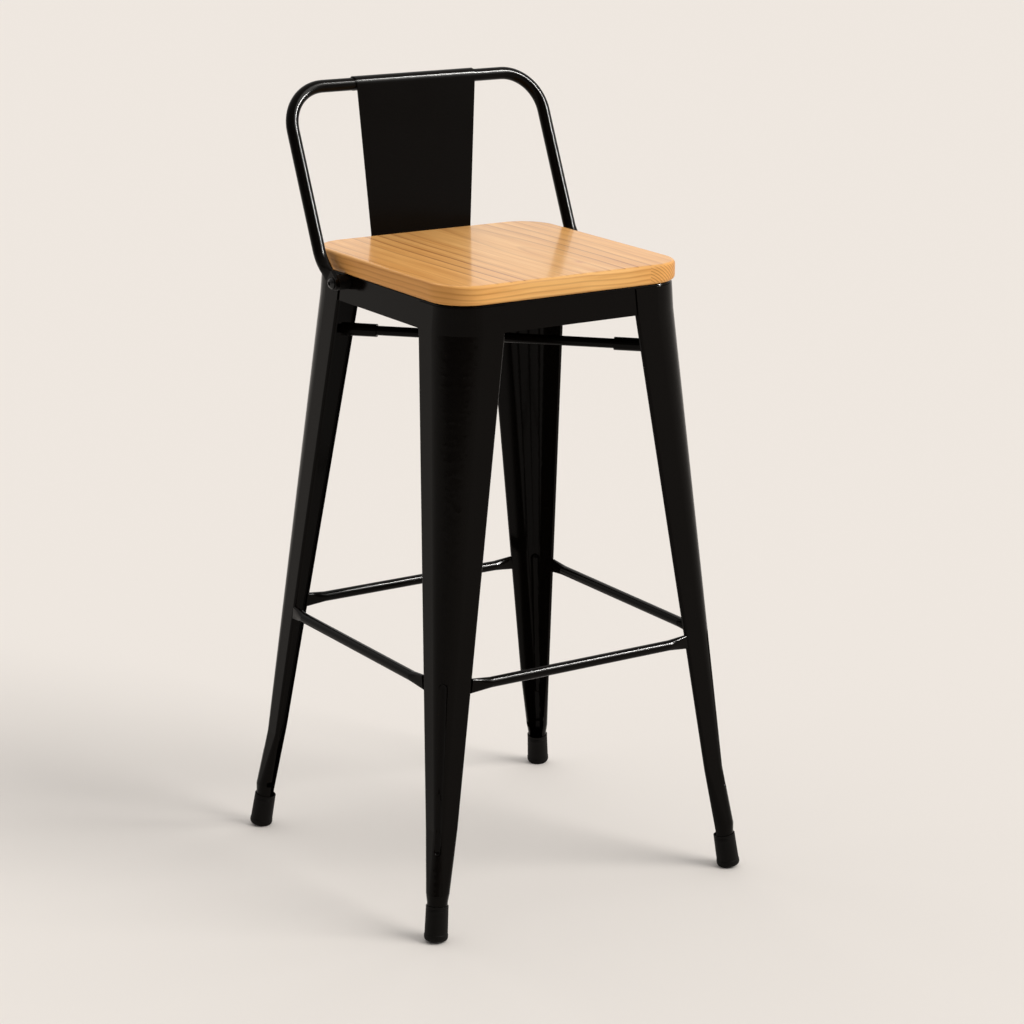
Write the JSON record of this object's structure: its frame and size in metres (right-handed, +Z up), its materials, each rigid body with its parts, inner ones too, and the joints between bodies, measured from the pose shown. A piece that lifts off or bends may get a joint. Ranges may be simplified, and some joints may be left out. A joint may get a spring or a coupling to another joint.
{
  "type": "bar stool",
  "caption": "Tall stool with folded splayed legs, a square wood seat, a low bent-tube backrest with a sheet splat, a footrest ring and crossed brace rods.",
  "frame": {"origin": "on the floor under the middle of the seat", "axes": "+Z up, +Y towards the backrest, so the sitter faces -Y"},
  "size_m": [0.4554, 0.4554, 0.9529],
  "materials": {
    "wood_seat": "satin",
    "black_steel": "satin",
    "black_rubber": "matte",
    "black_zinc": "satin"
  },
  "bodies": {
    "root": {"seat_board": "wood_seat", "seat_pan": "black_steel", "leg_front_left": "black_steel", "leg_front_right": "black_steel", "leg_rear_right": "black_steel", "leg_rear_left": "black_steel", "foot_cap_front_left": "black_rubber", "foot_cap_front_right": "black_rubber", "foot_cap_rear_right": "black_rubber", "foot_cap_rear_left": "black_rubber", "footrest_front": "black_steel", "footrest_right": "black_steel", "footrest_rear": "black_steel", "footrest_left": "black_steel", "brace_rod_lower": "black_steel", "brace_rod_upper": "black_steel", "brace_ferrule_front_left": "black_steel", "brace_ferrule_front_right": "black_steel", "brace_ferrule_rear_right": "black_steel", "brace_ferrule_rear_left": "black_steel", "backrest_tube": "black_steel", "backrest_splat": "black_steel", "backrest_spacer_left": "black_rubber", "backrest_spacer_right": "black_rubber", "backrest_bolts": "black_zinc", "backrest_washers": "black_zinc", "backrest_nuts": "black_zinc", "splat_screws": "black_zinc", "splat_nuts": "black_zinc", "seat_screws": "black_zinc"}
  },
  "joints": []
}
